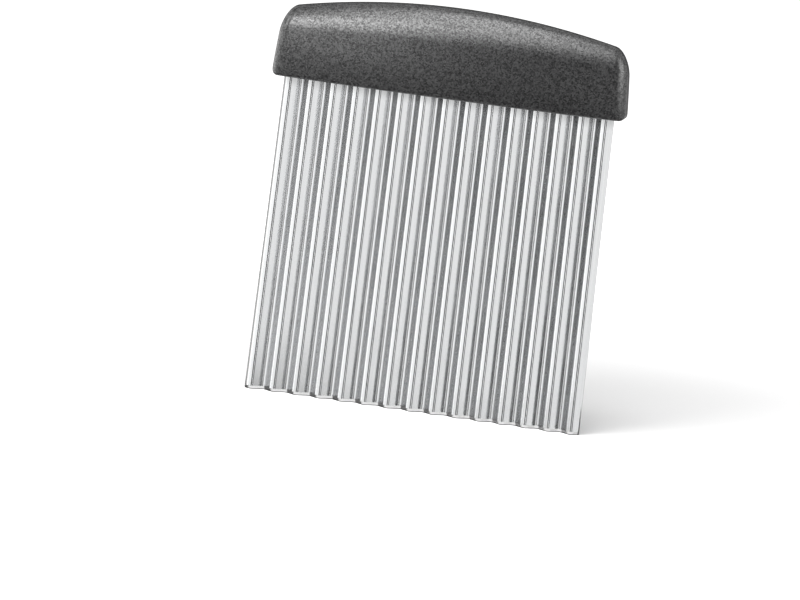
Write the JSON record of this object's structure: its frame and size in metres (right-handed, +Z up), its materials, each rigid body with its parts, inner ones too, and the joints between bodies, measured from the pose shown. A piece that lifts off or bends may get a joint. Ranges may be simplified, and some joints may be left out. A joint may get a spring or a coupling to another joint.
{
  "type": "crinkle cutter",
  "caption": "Crinkle cutter with a corrugated steel blade, ground along its lower edge, held by its tang in a black arched two-shell push handle.",
  "frame": {"origin": "middle of the blade's cutting edge, at the bottom of the tool", "axes": "+X along the blade's width, to the right as seen from the front; +Y from the front to the back; +Z up the blade to the handle"},
  "size_m": [0.1066, 0.0172, 0.1216],
  "materials": {
    "blade_steel": "bright stainless sheet with fine rolling lines along the waves and a ground edge",
    "handle_plastic": "matt black with a fine moulded grain",
    "seal_rubber": "plain matt",
    "pin_steel": "plain ground dowel"
  },
  "bodies": {
    "root": {"blade": "blade_steel", "front_shell": "handle_plastic", "rear_shell": "handle_plastic", "slot_seal": "seal_rubber", "left_tang_pin": "pin_steel", "middle_tang_pin": "pin_steel", "right_tang_pin": "pin_steel"}
  },
  "joints": []
}
